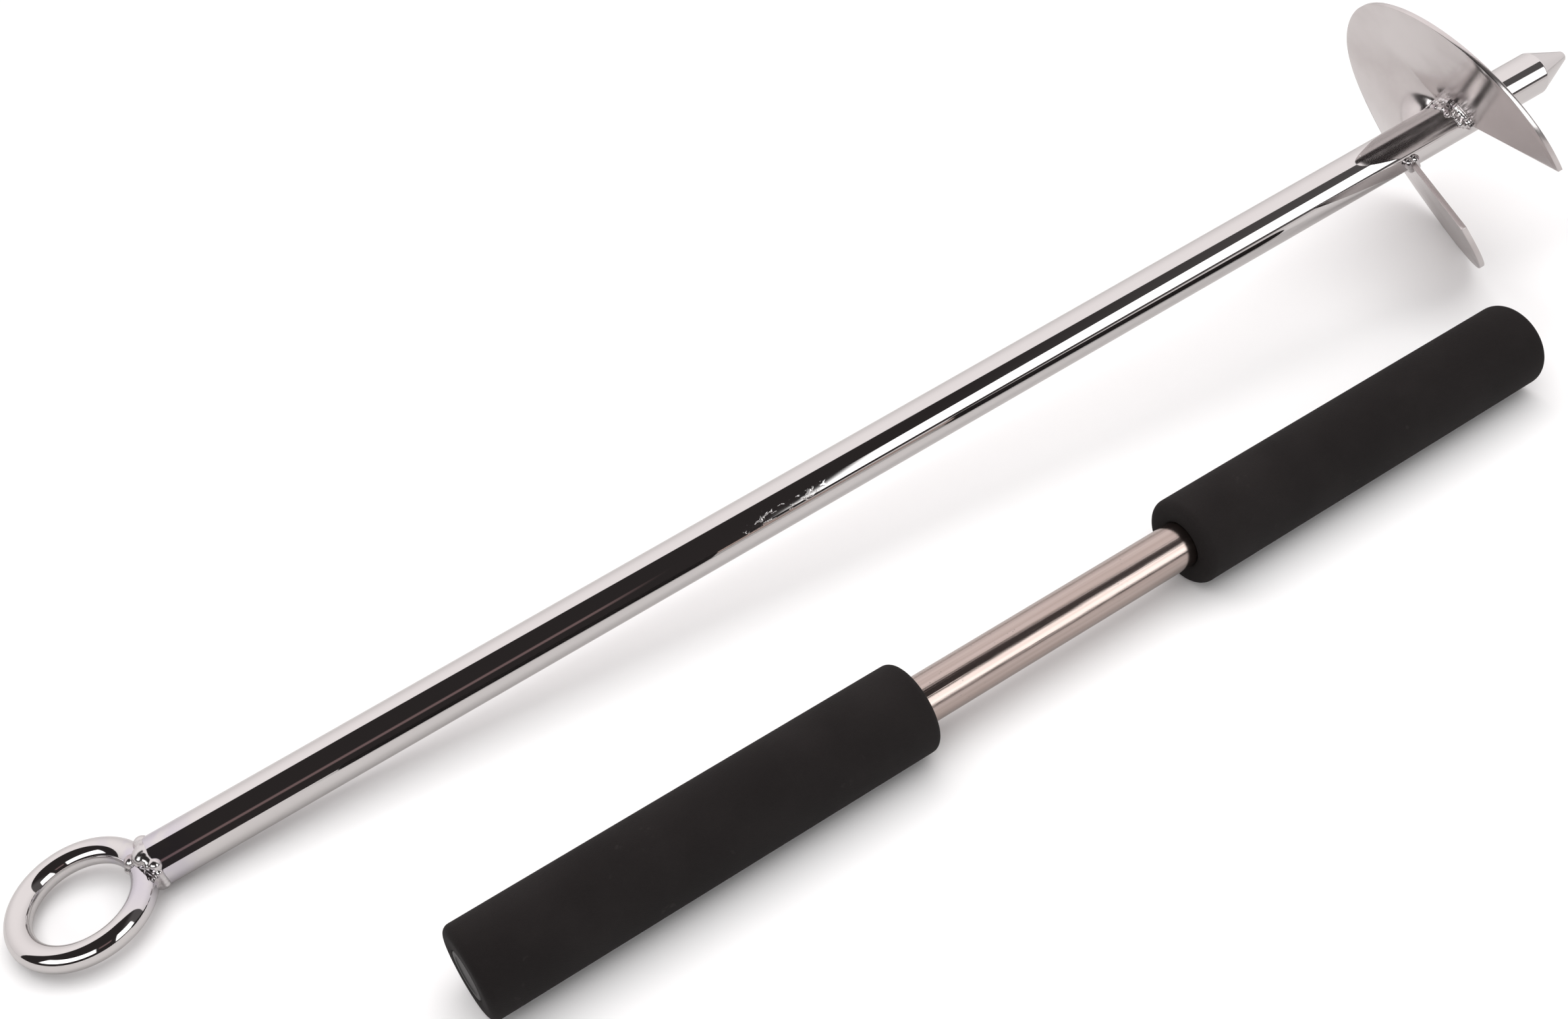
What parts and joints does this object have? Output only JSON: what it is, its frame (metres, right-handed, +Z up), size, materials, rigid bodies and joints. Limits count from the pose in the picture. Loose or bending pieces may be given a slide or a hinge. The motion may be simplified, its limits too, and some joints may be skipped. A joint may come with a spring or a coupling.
{
  "type": "screw-in ground anchor with a removable handle",
  "caption": "Steel screw-in sand anchor: eye ring, straight shaft, split screw flight and cone point, with a loose T-handle bar in foam grips lying beside it.",
  "frame": {"origin": "middle of the part's box, on the floor that both pieces lie on", "axes": "+Z up from the floor, +X along the floor under the shaft from the eye ring to the point, +Y from the handle to the anchor"},
  "size_m": [0.9571, 0.2608, 0.1583],
  "materials": {
    "polished_steel": "mirror-polished stainless steel with fine scuffs",
    "plate_steel": "satin-polished stainless plate with bright edges",
    "weld_steel": "bright rippled weld bead",
    "brushed_tube": "fine lengthwise brushed stainless tube",
    "plug_plastic": "matte black moulded plug",
    "grip_foam": "matte black closed-cell foam with a fine cell texture"
  },
  "bodies": {
    "anchor": {"eye_ring": "polished_steel", "ring_weld": "weld_steel", "shaft_end_cap": "polished_steel", "shaft_tube": "polished_steel", "flight": "plate_steel", "flight_weld_ring_side": "weld_steel", "flight_weld_point_side": "weld_steel", "point": "polished_steel"},
    "handle": {"handle_tube": "brushed_tube", "left_end_plug": "plug_plastic", "right_end_plug": "plug_plastic", "left_grip": "grip_foam", "right_grip": "grip_foam"}
  },
  "joints": [
    {"name": "handle_lift", "type": "slide", "parent": "anchor", "child": "handle", "axis": [0, 0, 1], "range_m": [0, 0.35]}
  ]
}
